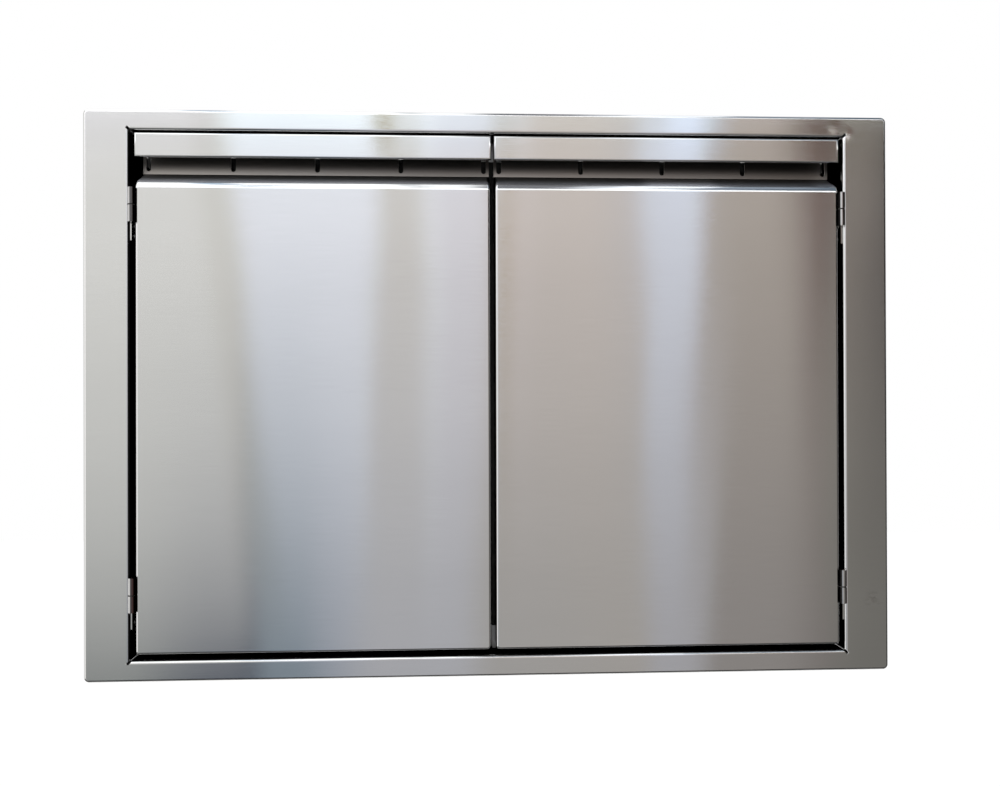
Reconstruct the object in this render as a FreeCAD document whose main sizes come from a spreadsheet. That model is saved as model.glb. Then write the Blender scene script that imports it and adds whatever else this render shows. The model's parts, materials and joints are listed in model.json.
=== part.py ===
import FreeCAD, Part
import math
import os
import re
import Sketcher

# Double access door for an outdoor kitchen island, folded from stainless sheet, in millimetres.
# The origin is the middle of the opening, in the plane of the island's wall.
# X runs to the right, Y into the island and Z up.

SIZES = {
    # face frame: one folded sheet, with a sleeve that goes into the wall
    "face_wide": 762.0,
    "face_tall": 533.4,
    "face_proud": 10.0,
    "face_corner": 5.0,
    "frame_sheet": 1.5,
    "frame_bend": 3.0,
    "stile_wide": 43.0,
    "rail_tall": 19.7,
    "sleeve_deep": 70.0,
    "notch_wide": 2.6,
    "notch_reach": 4.6,
    "notch_deep": 6.0,
    "slit_wide": 0.8,
    "slit_reach": 3.0,
    # screw holes through the sleeve, for fixing it in the wall
    "fixing_radius": 2.5,
    "fixing_rise": 240.0,
    "fixing_spread": 28.0,
    "fixing_deep": 44.0,
    # corner angles at the back of the sleeve
    "angle_leg": 22.0,
    "angle_long": 30.0,
    "angle_inset": 2.0,
    "angle_sheet": 1.5,
    "angle_rivet_pitch": 15.0,
    # gaps round the closed doors
    "top_gap": 2.0,
    "bottom_gap": 5.7,
    "side_gap": 4.8,
    "centre_gap": 4.8,
    "strip_side_gap": 3.9,
    "strip_centre_gap": 2.2,
    # door
    "door_deep": 30.2,
    "skin_sheet": 1.2,
    "skin_bend": 2.5,
    "skin_corner": 3.2,
    "liner_sheet": 1.0,
    "liner_flange": 22.0,
    "liner_bend": 1.5,
    "slope_bend": 9.0,
    "slope_front_drop": 46.3,
    "slope_back_drop": 34.0,
    "slope_ledge": 2.0,
    # handle channel over the top of a door
    "strip_tall": 23.0,
    "strip_lip": 2.8,
    "strip_bend": 2.0,
    "plate_drop": 33.6,
    "plate_inset": 1.3,
    "slot_radius": 2.35,
    "slot_long": 22.0,
    "slot_rise": 2.8,
    "slot_edge": 5.0,
    "slot_count": 5,
    "window_margin": 1.5,
    # stiffener inside a door
    "stiffener_wide": 60.0,
    "stiffener_end": 12.0,
    # lift-off hinges
    "pin_proud": 1.8,
    "pin_radius": 2.0,
    "pin_clearance": 0.05,
    "pin_short": 1.0,
    "pin_nose": 0.8,
    "knuckle_radius": 3.6,
    "knuckle_long": 15.4,
    "washer_radius": 2.8,
    "washer_thick": 1.1,
    "washer_clearance": 0.1,
    "leaf_sheet": 1.2,
    "leaf_deep": 24.0,
    "leaf_drop": 16.5,
    "leaf_relief": 0.8,
    "upper_hinge_drop": 68.0,
    "lower_hinge_rise": 55.8,
    # rivets
    "rivet_radius": 1.6,
    "rivet_head_radius": 3.1,
    "rivet_head": 0.9,
    "rivet_dome": 0.72,
    "rivet_tail_radius": 2.4,
    "rivet_tail": 1.6,
    "rivet_tip": 0.64,
    "hinge_rivet_deep": 16.0,
    "hinge_rivet_pitch": 16.0,
    "frame_rivet_drop": 17.5,
    "frame_rivet_pitch": 10.0,
    # magnetic catch at the bottom and stop at the top, both in the middle
    "catch_wide": 66.0,
    "catch_tall": 22.0,
    "catch_foot": 24.0,
    "catch_web": 3.2,
    "catch_web_reach": 4.0,
    "catch_web_offset": 1.6,
    "catch_rivet_spread": 44.0,
    "bracket_sheet": 1.5,
    "bracket_bend": 2.4,
    "bracket_bend_inside": 0.9,
    "foot_rivet_share": 0.6,
    "magnet_radius": 6.0,
    "magnet_thick": 4.5,
    "magnet_edge": 0.42,
    "magnet_gap": 0.3,
    "magnet_spread": 44.0,
    "magnet_rise": 14.0,
    "screw_radius": 1.5,
    "screw_head_radius": 2.8,
    "screw_head": 1.8,
    "screw_edge": 0.6,
    "nut_radius": 2.9,
    "nut_thick": 2.4,
    "strike_wide": 34.0,
    "strike_tall": 12.0,
    "strike_thick": 1.2,
    "strike_corner": 1.8,
    "strike_rivet_pitch": 26.0,
    "buffer_wide": 90.0,
    "buffer_tall": 20.0,
    "buffer_foot": 20.0,
    "buffer_rivet_spread": 60.0,
    "bumper_radius": 5.0,
    "bumper_thick": 3.0,
    "bumper_crown": 1.0,
    "bumper_gap": 0.3,
    "bumper_spread": 66.0,
    "bumper_drop": 11.0,
    # smallest gap left round a solid that passes another
    "running_gap": 0.3,
}

# Places worked out from the sizes, as expressions. The ones along X are distances from the middle.
FACE = "-face_proud"
SLEEVE_X = "(face_wide / 2 - stile_wide)"
SLEEVE_Z = "(face_tall / 2 - rail_tall)"
DOOR_TOP = f"({SLEEVE_Z} - top_gap)"
DOOR_BOTTOM = f"(bottom_gap - {SLEEVE_Z})"
DOOR_NEAR = "centre_gap / 2"
DOOR_FAR = f"({SLEEVE_X} - side_gap)"
DOOR_BACK = "(door_deep - face_proud)"
LINER_FRONT = f"({DOOR_BACK} - liner_sheet)"
STRIP_NEAR = "strip_centre_gap / 2"
STRIP_FAR = f"({SLEEVE_X} - strip_side_gap)"
STRIP_BOTTOM = f"({DOOR_TOP} - strip_tall)"
PLATE_NEAR = f"({STRIP_NEAR} + plate_inset)"
PLATE_FAR = f"({STRIP_FAR} - plate_inset)"
PLATE_FRONT = f"({LINER_FRONT} - skin_sheet)"
PLATE_BOTTOM = f"({DOOR_TOP} - plate_drop)"
SLOPE_TOP = f"({DOOR_TOP} - slope_back_drop)"
SLOPE_FOOT = f"({DOOR_TOP} - slope_front_drop)"
SLOPE_BACK = f"({LINER_FRONT} - slope_ledge)"
SLOPE_RISE = "(slope_front_drop - slope_back_drop)"
SLOPE_RUN = f"({SLOPE_BACK} - {FACE})"
SLOPE_LONG = f"sqrt({SLOPE_RISE}^2 + {SLOPE_RUN}^2)"
PIN_X = f"({SLEEVE_X} - side_gap / 2)"
PIN_Y = f"({FACE} - pin_proud)"
HINGES = {
    "upper": f"({DOOR_TOP} - upper_hinge_drop)",
    "lower": f"({DOOR_BOTTOM} + lower_hinge_rise)",
}
MAGNET_BACK = f"({DOOR_BACK} + strike_thick + magnet_gap + magnet_thick)"
MAGNET_Z = f"(magnet_rise - {SLEEVE_Z})"
BUMPER_BACK = f"({DOOR_BACK} + bumper_gap + bumper_thick)"
BUMPER_Z = f"({SLEEVE_Z} - bumper_drop)"
SIDES = {"left": -1, "right": 1}

V = FreeCAD.Vector
doc = FreeCAD.newDocument("access_door")
sizes = doc.addObject("Spreadsheet::Sheet", "sizes")
for row, (alias, number) in enumerate(SIZES.items(), 1):
    sizes.set(f"A{row}", alias)
    sizes.set(f"B{row}", str(number))
    sizes.setAlias(f"B{row}", alias)
doc.recompute()

PLANES = {"X": "YZ_Plane", "Y": "XZ_Plane", "Z": "XY_Plane"}
FACING = {"X": 1, "Y": -1, "Z": 1}
# coordinates that lie this near count as the same
NEAR = 1e-4
parts = []


def bound(text):
    return re.sub(r"[a-z_]+", lambda word: f"sizes.{word[0]}" if word[0] in SIZES else word[0], str(text))


def value(text):
    return float(sizes.evalExpression(bound(text)))


def new_body(name):
    body = doc.addObject("PartDesign::Body", name)
    body.Label = name
    body.AllowCompound = True
    parts.append(body)
    return body


# Sketches: every point is held by expressions, measured from the sketch's own origin.

def hold(sketch, item, end, u, v):
    for kind, text in (("DistanceX", u), ("DistanceY", v)):
        if text is None:
            continue
        number = sketch.addConstraint(Sketcher.Constraint(kind, -1, 1, item, end, value(text)))
        sketch.setExpression(f"Constraints[{number}]", bound(text))


def path(*steps):
    # a closed outline: a step is a point, or a point and the centre of the arc that leaves it
    def draw(sketch):
        first = sketch.GeometryCount
        spots = [V(value(step[0]), value(step[1]), 0) for step in steps]
        ends = []
        for step, start, end in zip(steps, spots, spots[1:] + spots[:1]):
            flipped = False
            if len(step) == 2:
                sketch.addGeometry(Part.LineSegment(start, end))
            else:
                flipped = draw_arc(sketch, start, end, V(value(step[2]), value(step[3]), 0))
            ends.append((2, 1) if flipped else (1, 2))
        for number, step in enumerate(steps):
            following = (number + 1) % len(steps)
            joint = (first + number, ends[number][1], first + following, ends[following][0])
            sketch.addConstraint(Sketcher.Constraint("Coincident", *joint))
            hold(sketch, first + number, ends[number][0], step[0], step[1])
            if len(step) > 2:
                chord = spots[following] - spots[number]
                upright = abs(chord.x) < abs(chord.y)
                hold(sketch, first + number, 3, step[2] if upright else None, None if upright else step[3])
    return draw


def draw_arc(sketch, start, end, centre):
    # the shorter way round, or counter-clockwise where it is a half turn
    flipped = (start - centre).cross(end - centre).z < -NEAR
    if flipped:
        start, end = end, start
    angles = [math.atan2(spot.y - centre.y, spot.x - centre.x) for spot in (start, end)]
    if angles[1] <= angles[0]:
        angles[1] += 2 * math.pi
    sketch.addGeometry(Part.ArcOfCircle(Part.Circle(centre, V(0, 0, 1), (start - centre).Length), *angles))
    return flipped


def rectangle(low_u, high_u, low_v, high_v):
    return path((low_u, low_v), (high_u, low_v), (high_u, high_v), (low_u, high_v))


def rounded(low_u, high_u, low_v, high_v, radius):
    # a rectangle with round corners
    in_u, out_u = f"{low_u} + {radius}", f"{high_u} - {radius}"
    in_v, out_v = f"{low_v} + {radius}", f"{high_v} - {radius}"
    return path((in_u, low_v), (out_u, low_v, out_u, in_v), (high_u, in_v), (high_u, out_v, out_u, out_v),
                (out_u, high_v), (in_u, high_v, in_u, out_v), (low_u, out_v), (low_u, in_v, in_u, in_v))


def slot(u, low_v, high_v, radius):
    # an upright slot with round ends, from the middle of its lower end to that of its upper one
    return path((f"{u} - {radius}", low_v, u, low_v), (f"{u} + {radius}", low_v),
                (f"{u} + {radius}", high_v, u, high_v), (f"{u} - {radius}", high_v))


def circle(u, v, radius):
    def draw(sketch):
        item = sketch.addGeometry(Part.Circle(V(value(u), value(v), 0), V(0, 0, 1), value(radius)))
        hold(sketch, item, 3, u, v)
        number = sketch.addConstraint(Sketcher.Constraint("Radius", item, value(radius)))
        sketch.setExpression(f"Constraints[{number}]", bound(radius))
    return draw


def circles(spots, radius):
    return [circle(u, v, radius) for u, v in spots]


def outline(body, name, axis, at, shapes):
    sketch = body.newObject("Sketcher::SketchObject", f"{name}_sketch")
    plane = next(item for item in body.Origin.OriginFeatures if item.Role == PLANES[axis])
    sketch.AttachmentSupport = [(plane, "")]
    sketch.MapMode = "FlatFace"
    sketch.setExpression("AttachmentOffset.Base.z", bound(f"{FACING[axis]} * ({at})"))
    for draw in shapes:
        draw(sketch)
    return sketch


def pad(body, name, axis, at, toward, length, *shapes):
    sketch = outline(body, name, axis, at, shapes)
    feature = body.newObject("PartDesign::Pad", name)
    feature.Profile = sketch
    feature.Reversed = toward * FACING[axis] < 0
    feature.setExpression("Length", bound(length))
    doc.recompute()


def pocket(body, name, axis, at, toward, length, *shapes):
    before = body.Shape.Volume
    sketch = outline(body, name, axis, at, shapes)
    feature = body.newObject("PartDesign::Pocket", name)
    feature.Profile = sketch
    feature.Reversed = toward * FACING[axis] > 0
    feature.setExpression("Length", bound(length))
    doc.recompute()
    if not body.Shape.Volume < before:
        raise RuntimeError(f"{body.Label}: {name} removes nothing")


def matching(shape, places):
    # edges whose ends all lie at one of the places, each a dictionary of axis to expression
    found = []
    for place in places:
        spot = {axis: value(text) for axis, text in place.items()}
        hits = [number for number, edge in enumerate(shape.Edges, 1)
                if all(abs(getattr(end.Point, axis) - at) < NEAR
                       for end in edge.Vertexes for axis, at in spot.items())]
        if not hits:
            raise RuntimeError(f"no edge at {place}")
        found += [f"Edge{number}" for number in hits if f"Edge{number}" not in found]
    return found


def fillet(body, name, radius, *places):
    base = body.Tip
    feature = body.newObject("PartDesign::Fillet", name)
    feature.Base = (base, matching(base.Shape, places))
    feature.setExpression("Radius", bound(radius))
    doc.recompute()


# Rivets, screws and nuts.

def rivets(body, name, axis, seat, toward, grip, spots):
    # a head on the seat, a shank through the grip and a formed tail on the far side
    pad(body, f"{name}_shank", axis, seat, toward, grip, *circles(spots, "rivet_radius"))
    top = f"({seat} - {toward} * rivet_head)"
    pad(body, f"{name}_head", axis, top, toward, "rivet_head", *circles(spots, "rivet_head_radius"))
    fillet(body, f"{name}_dome", "rivet_dome", {axis.lower(): top})
    end = f"({seat} + {toward} * ({grip}))"
    pad(body, f"{name}_tail", axis, end, toward, "rivet_tail", *circles(spots, "rivet_tail_radius"))
    tip = f"({end} + {toward} * rivet_tail)"
    fillet(body, f"{name}_tip", "rivet_tip", {axis.lower(): tip})


def holes(body, name, axis, at, toward, length, spots, radius="rivet_radius"):
    pocket(body, name, axis, at, toward, length, *circles(spots, radius))


# Where the rivets and screws go. Each spot has the two coordinates of the sketch that it is drawn in.

def frame_hinge_spots(height):
    deep = f"{PIN_Y} + hinge_rivet_deep"
    first = f"{height} - frame_rivet_drop"
    return [(deep, first), (deep, f"{first} - frame_rivet_pitch")]


def door_hinge_spots(height):
    deep = f"{PIN_Y} + hinge_rivet_deep"
    return [(deep, f"{height} + hinge_rivet_pitch / 2"), (deep, f"{height} - hinge_rivet_pitch / 2")]


def angle_spots_along():
    middle = "sleeve_deep - angle_inset - angle_long / 2"
    return [f"{middle} + {end} * angle_rivet_pitch / 2" for end in (-1, 1)]


ANGLE_MIDDLE = "(angle_leg + angle_sheet) / 2"


def angle_side_spots(up):
    return [(deep, f"{up} * ({SLEEVE_Z} - {ANGLE_MIDDLE})") for deep in angle_spots_along()]


def angle_flat_spots(side):
    return [(f"{side} * ({SLEEVE_X} - {ANGLE_MIDDLE})", deep) for deep in angle_spots_along()]


CATCH_FOOT_ROW = f"({MAGNET_BACK} + catch_foot * foot_rivet_share)"
STOP_FOOT_ROW = f"({BUMPER_BACK} + buffer_foot * foot_rivet_share)"
CATCH_SPOTS = [(f"{side} * catch_rivet_spread / 2", CATCH_FOOT_ROW) for side in (-1, 1)]
STOP_SPOTS = [(f"{side} * buffer_rivet_spread / 2", STOP_FOOT_ROW) for side in (-1, 1)]
MAGNET_SPOTS = [(f"{side} * magnet_spread / 2", MAGNET_Z) for side in (-1, 1)]


def slot_places(side):
    # middles of the vent slots, evenly spaced between the ends of the plate
    span = f"({PLATE_FAR} - {PLATE_NEAR} - 2 * slot_edge)"
    return [f"{side} * ({PLATE_NEAR} + slot_edge + {span} * {number} / (slot_count - 1))"
            for number in range(SIZES["slot_count"])]


def handle_rivet_spots(side):
    places = slot_places(side)
    return [(f"({left} + {right}) / 2", f"{DOOR_TOP} - strip_tall / 2")
            for left, right in zip(places, places[1:])]


def strike_spots(side):
    return [(f"{side} * magnet_spread / 2 + {end} * strike_rivet_pitch / 2", MAGNET_Z) for end in (-1, 1)]


# Face frame.

def at_corners(make):
    return [make(side, up) for side in (-1, 1) for up in (-1, 1)]


def diagonal(width, reach):
    # a square-ended cut that runs out of a corner of the opening at 45 degrees
    def shape(side, up):
        half = f"{width} / 2 / sqrt(2)"
        far = f"{reach} / sqrt(2)"
        near = "-frame_bend"
        corner = [(f"{near} - {half}", f"{near} + {half}"), (f"{far} - {half}", f"{far} + {half}"),
                  (f"{far} + {half}", f"{far} - {half}"), (f"{near} + {half}", f"{near} - {half}")]
        return path(*[(f"{side} * ({SLEEVE_X} + ({u}))", f"{up} * ({SLEEVE_Z} + ({v}))") for u, v in corner])
    return shape


def build_face_frame():
    body = new_body("face_frame")
    half_x = "face_wide / 2"
    half_z = "face_tall / 2"
    pad(body, "face_block", "Y", "0", -1, "face_proud", rectangle(f"-{half_x}", half_x, f"-{half_z}", half_z))
    corners = at_corners(lambda side, up: {"x": f"{side} * {half_x}", "z": f"{up} * {half_z}"})
    fillet(body, "face_corners", "face_corner", *corners)
    fillet(body, "face_edge", "frame_bend", {"y": FACE})
    out_x = f"({SLEEVE_X} + frame_sheet)"
    out_z = f"({SLEEVE_Z} + frame_sheet)"
    sleeve = rectangle(f"-{out_x}", out_x, f"-{out_z}", out_z)
    pad(body, "sleeve_block", "Y", "0", 1, "sleeve_deep", sleeve)
    in_x = f"({half_x} - frame_sheet)"
    in_z = f"({half_z} - frame_sheet)"
    pocket(body, "face_hollow", "Y", "0", -1, "face_proud - frame_sheet",
           rounded(f"-{in_x}", in_x, f"-{in_z}", in_z, "(face_corner - frame_sheet)"), sleeve)
    pocket(body, "opening", "Y", FACE, 1, "sleeve_deep + face_proud",
           rectangle(f"-({SLEEVE_X})", SLEEVE_X, f"-({SLEEVE_Z})", SLEEVE_Z))
    pocket(body, "corner_notches", "Y", FACE, 1, "notch_deep",
           *at_corners(diagonal("notch_wide", "notch_reach")))
    pocket(body, "corner_slits", "Y", FACE, 1, "sleeve_deep + face_proud",
           *at_corners(diagonal("slit_wide", "slit_reach")))
    sheet_back = f"{FACE} + frame_sheet"
    for side in (-1, 1):
        fillet(body, "side_bend", "frame_bend", {"x": f"{side} * {SLEEVE_X}", "y": FACE})
        fillet(body, "level_bend", "frame_bend", {"z": f"{side} * {SLEEVE_Z}", "y": FACE})
        fillet(body, "bend_insides", "frame_bend - frame_sheet", {"x": f"{side} * {out_x}", "y": sheet_back},
               {"z": f"{side} * {out_z}", "y": sheet_back})
    return body


def drill_face_frame(body):
    fixing = at_corners(lambda back, up: (f"fixing_deep + {back} * fixing_spread / 2",
                                          f"{up} * fixing_rise / 2"))
    holes(body, "fixing_holes", "X", "-face_wide", 1, "2 * face_wide", fixing, "fixing_radius")
    side_spots = angle_side_spots(-1) + angle_side_spots(1)
    for height in HINGES.values():
        side_spots += frame_hinge_spots(height)
    holes(body, "side_rivet_holes", "X", "-face_wide", 1, "2 * face_wide", side_spots)
    flat_spots = angle_flat_spots(-1) + angle_flat_spots(1)
    holes(body, "level_rivet_holes", "Z", "-face_tall", 1, "2 * face_tall", flat_spots)
    holes(body, "catch_holes", "Z", "-face_tall", 1, "face_tall", CATCH_SPOTS)
    holes(body, "stop_holes", "Z", "0", 1, "face_tall", STOP_SPOTS)


def build_corner_angle(side, up):
    body = new_body(f"corner_angle_{'upper' if up > 0 else 'lower'}_{'right' if side > 0 else 'left'}")
    outer = [(0, 0), ("angle_leg", 0), ("angle_leg", "angle_sheet"), ("angle_sheet", "angle_sheet"),
             ("angle_sheet", "angle_leg"), (0, "angle_leg")]
    start = "sleeve_deep - angle_inset - angle_long"
    pad(body, "angle", "Y", start, 1, "angle_long",
        path(*[(f"{side} * ({SLEEVE_X} - {u})", f"{up} * ({SLEEVE_Z} - {v})") for u, v in outer]))
    inside = f"{side} * ({SLEEVE_X} - angle_sheet)"
    fillet(body, "angle_bend", "angle_sheet", {"x": inside, "z": f"{up} * ({SLEEVE_Z} - angle_sheet)"})
    holes(body, "side_holes", "X", "0", side, "face_wide", angle_side_spots(up))
    holes(body, "flat_holes", "Z", "0", up, "face_tall", angle_flat_spots(side))


def build_corner_rivets():
    body = new_body("corner_angle_rivets")
    grip = "angle_sheet + frame_sheet"
    for side in (-1, 1):
        spots = angle_side_spots(-1) + angle_side_spots(1)
        rivets(body, "side", "X", f"{side} * ({SLEEVE_X} - angle_sheet)", side, grip, spots)
        spots = angle_flat_spots(-1) + angle_flat_spots(1)
        rivets(body, "flat", "Z", f"{side} * ({SLEEVE_Z} - angle_sheet)", side, grip, spots)


# Catch and stop in the middle of the opening.

def bracket_angle(body, front, wall, up, wide, foot, tall):
    # an angle of sheet with its foot on the sleeve and its leg on end
    level = f"{wall} + {up} * bracket_sheet"
    leg_back = f"{front} + bracket_sheet"
    pad(body, "angle", "X", f"-{wide} / 2", 1, wide,
        path((front, wall), (f"{front} + {foot}", wall), (f"{front} + {foot}", level), (leg_back, level),
             (leg_back, f"{wall} + {up} * {tall}"), (front, f"{wall} + {up} * {tall}")))
    fillet(body, "inner_bend", "bracket_bend_inside", {"y": leg_back, "z": level})
    fillet(body, "outer_bend", "bracket_bend", {"y": front, "z": wall})


def build_catch_bracket():
    body = new_body("catch_bracket")
    floor = f"-{SLEEVE_Z}"
    bracket_angle(body, MAGNET_BACK, floor, 1, "catch_wide", "catch_foot", "catch_tall")
    pad(body, "web", "X", "catch_web_offset - catch_web / 2", 1, "catch_web",
        rectangle(f"{MAGNET_BACK} - catch_web_reach", f"{MAGNET_BACK} + bracket_sheet", floor,
                  f"{floor} + catch_tall"))
    holes(body, "magnet_holes", "Y", MAGNET_BACK, 1, "bracket_sheet", MAGNET_SPOTS, "screw_radius")
    holes(body, "foot_holes", "Z", floor, 1, "bracket_sheet", CATCH_SPOTS)


def build_magnets():
    for (name, side), spot in zip(SIDES.items(), MAGNET_SPOTS):
        body = new_body(f"catch_magnet_{name}")
        front = f"{MAGNET_BACK} - magnet_thick"
        pad(body, "magnet", "Y", front, 1, "magnet_thick", circle(*spot, "magnet_radius"))
        fillet(body, "rim", "magnet_edge", {"y": front})
        holes(body, "screw_hole", "Y", front, 1, "magnet_thick", [spot], "screw_radius")
        holes(body, "head_recess", "Y", front, 1, "screw_head + magnet_gap", [spot],
              "screw_head_radius + magnet_gap")


def build_magnet_screws():
    body = new_body("magnet_screws")
    seat = f"({MAGNET_BACK} - magnet_thick + screw_head + magnet_gap)"
    nut = f"({MAGNET_BACK} + bracket_sheet)"
    pad(body, "heads", "Y", seat, -1, "screw_head", *circles(MAGNET_SPOTS, "screw_head_radius"))
    pad(body, "shanks", "Y", seat, 1, f"{nut} + nut_thick + screw_radius - {seat}",
        *circles(MAGNET_SPOTS, "screw_radius"))
    fillet(body, "head_edge", "screw_edge", {"y": f"{seat} - screw_head"})


def hexagon(u, v, radius):
    # radius is that of the circle inside its flats
    corner = f"{radius} / cos(30)"
    return path(*[(f"{u} + {corner} * cos({turn})", f"{v} + {corner} * sin({turn})")
                  for turn in range(0, 360, 60)])


def build_magnet_nuts():
    body = new_body("magnet_nuts")
    back = f"{MAGNET_BACK} + bracket_sheet"
    pad(body, "nuts", "Y", back, 1, "nut_thick", *[hexagon(u, v, "nut_radius") for u, v in MAGNET_SPOTS])
    holes(body, "threads", "Y", back, 1, "nut_thick", MAGNET_SPOTS, "screw_radius")


def build_catch_rivets():
    body = new_body("catch_bracket_rivets")
    rivets(body, "foot", "Z", f"(bracket_sheet - {SLEEVE_Z})", -1, "bracket_sheet + frame_sheet", CATCH_SPOTS)


def build_stop_bracket():
    body = new_body("stop_bracket")
    bracket_angle(body, BUMPER_BACK, SLEEVE_Z, -1, "buffer_wide", "buffer_foot", "buffer_tall")
    holes(body, "foot_holes", "Z", SLEEVE_Z, -1, "bracket_sheet", STOP_SPOTS)


def build_stop_rivets():
    body = new_body("stop_bracket_rivets")
    rivets(body, "foot", "Z", f"({SLEEVE_Z} - bracket_sheet)", 1, "bracket_sheet + frame_sheet", STOP_SPOTS)


def build_bumpers():
    for name, side in SIDES.items():
        body = new_body(f"stop_bumper_{name}")
        front = f"{BUMPER_BACK} - bumper_thick"
        pad(body, "pad", "Y", front, 1, "bumper_thick",
            circle(f"{side} * bumper_spread / 2", BUMPER_Z, "bumper_radius"))
        fillet(body, "crown", "bumper_crown", {"y": front})


# Hinges: the frame's knuckle is the lower one, and the door's lifts off the pin.

def build_frame_leaf(where, name, side, height):
    body = new_body(f"frame_leaf_{where}_{name}")
    x = f"{side} * {PIN_X}"
    top = f"({height} - washer_thick / 2)"
    pad(body, "knuckle", "Z", top, -1, "knuckle_long", circle(x, PIN_Y, "knuckle_radius"))
    wall = f"{side} * {SLEEVE_X}"
    inner = f"{side} * ({SLEEVE_X} - leaf_sheet)"
    pad(body, "tab", "Z", top, -1, "knuckle_long", rectangle(inner, wall, PIN_Y, f"{PIN_Y} + leaf_deep / 2"))
    pad(body, "leaf", "Z", top, -1, "knuckle_long + leaf_drop",
        rectangle(inner, wall, f"{PIN_Y} + knuckle_radius + leaf_relief", f"{PIN_Y} + leaf_deep"))
    pocket(body, "bore", "Z", top, -1, "knuckle_long", circle(x, PIN_Y, "pin_radius"))
    holes(body, "rivet_holes", "X", "0", side, "face_wide", frame_hinge_spots(height))


def build_door_leaf(where, name, side, height):
    body = new_body(f"door_leaf_{where}_{name}")
    x = f"{side} * {PIN_X}"
    low = f"({height} + washer_thick / 2 + washer_clearance)"
    pad(body, "knuckle", "Z", low, 1, "knuckle_long", circle(x, PIN_Y, "knuckle_radius"))
    face = f"{side} * {DOOR_FAR}"
    outer = f"{side} * ({DOOR_FAR} + leaf_sheet)"
    pad(body, "tab", "Z", low, 1, "knuckle_long", rectangle(face, outer, PIN_Y, f"{PIN_Y} + leaf_deep / 2"))
    bottom = f"({height} - washer_thick / 2 - knuckle_long)"
    pad(body, "leaf", "Z", bottom, 1, f"{low} + knuckle_long - {bottom}",
        rectangle(face, outer, f"{PIN_Y} + knuckle_radius + leaf_relief", f"{PIN_Y} + leaf_deep"))
    pocket(body, "bore", "Z", low, 1, "knuckle_long", circle(x, PIN_Y, "pin_radius + pin_clearance"))
    holes(body, "rivet_holes", "X", "0", side, "face_wide", door_hinge_spots(height))


def build_pin(where, name, side, height):
    body = new_body(f"hinge_pin_{where}_{name}")
    x = f"{side} * {PIN_X}"
    bottom = f"({height} - washer_thick / 2 - knuckle_long)"
    top = f"({height} + washer_thick / 2 + washer_clearance + knuckle_long - pin_short)"
    pad(body, "pin", "Z", bottom, 1, f"{top} - {bottom}", circle(x, PIN_Y, "pin_radius"))
    fillet(body, "nose", "pin_nose", {"z": top})


def build_washer(where, name, side, height):
    body = new_body(f"hinge_washer_{where}_{name}")
    x = f"{side} * {PIN_X}"
    low = f"{height} - washer_thick / 2"
    pad(body, "washer", "Z", low, 1, "washer_thick", circle(x, PIN_Y, "washer_radius"))
    pocket(body, "bore", "Z", low, 1, "washer_thick", circle(x, PIN_Y, "pin_radius"))


def build_frame_hinge_rivets():
    body = new_body("frame_hinge_rivets")
    for side in (-1, 1):
        spots = [spot for height in HINGES.values() for spot in frame_hinge_spots(height)]
        seat = f"{side} * ({SLEEVE_X} - leaf_sheet)"
        rivets(body, "hinge", "X", seat, side, "leaf_sheet + frame_sheet", spots)


# Doors. Each is built by the same functions, with the side as a sign along X.

def across(side, near, far):
    return sorted((f"{side} * {near}", f"{side} * {far}"), key=value)


def slope_turn(front, foot, radius):
    # the round bend from an upright face at front into the slope, whose lines would meet at foot
    reach = f"{radius} * ({SLOPE_LONG} - {SLOPE_RISE}) / {SLOPE_RUN}"
    start = f"{foot} - {reach}"
    along = f"{reach} / {SLOPE_LONG}"
    return [(front, start, f"{front} + {radius}", start),
            (f"{front} + {along} * {SLOPE_RUN}", f"{foot} + {along} * {SLOPE_RISE}")]


def build_skin(name, side):
    body = new_body(f"door_skin_{name}")
    low, high = across(side, DOOR_NEAR, DOOR_FAR)
    profile = [(FACE, DOOR_BOTTOM), *slope_turn(FACE, SLOPE_FOOT, "slope_bend"), (SLOPE_BACK, SLOPE_TOP),
               (DOOR_BACK, SLOPE_TOP), (DOOR_BACK, DOOR_BOTTOM)]
    pad(body, "pan", "X", low, 1, f"{high} - {low}", path(*profile))
    fillet(body, "bottom_corners", "skin_corner", {"x": low, "z": DOOR_BOTTOM}, {"x": high, "z": DOOR_BOTTOM})
    round_pan_rim(body, low, high)
    # the hollow follows the same profile, one sheet further in
    long_over_run = f"{SLOPE_LONG} / {SLOPE_RUN}"
    inner_foot = f"{SLOPE_FOOT} - skin_sheet * ({long_over_run} - {SLOPE_RISE} / {SLOPE_RUN})"
    inner_top = f"{SLOPE_TOP} - skin_sheet"
    top_run = f"{SLOPE_BACK} + skin_sheet * ({long_over_run} - 1) * {SLOPE_RUN} / {SLOPE_RISE}"
    inner_front = f"{FACE} + skin_sheet"
    inner_bottom = f"{DOOR_BOTTOM} + skin_sheet"
    past_back = f"{DOOR_BACK} + skin_sheet"
    inner = [(inner_front, inner_bottom),
             *slope_turn(inner_front, f"({inner_foot})", "(slope_bend - skin_sheet)"), (top_run, inner_top),
             (past_back, inner_top), (past_back, inner_bottom)]
    pocket(body, "hollow", "X", f"{low} + skin_sheet", 1, f"{high} - {low} - 2 * skin_sheet", path(*inner))
    # the ledge behind the slope stops at the liner
    pocket(body, "ledge_end", "Y", LINER_FRONT, 1, "liner_sheet",
           rectangle(f"{low} + skin_sheet", f"{high} - skin_sheet",
                     f"{SLOPE_TOP} - skin_sheet - running_gap", SLOPE_TOP))
    holes(body, "hinge_holes", "X", "0", side, "face_wide",
          [spot for height in HINGES.values() for spot in door_hinge_spots(height)])


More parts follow.
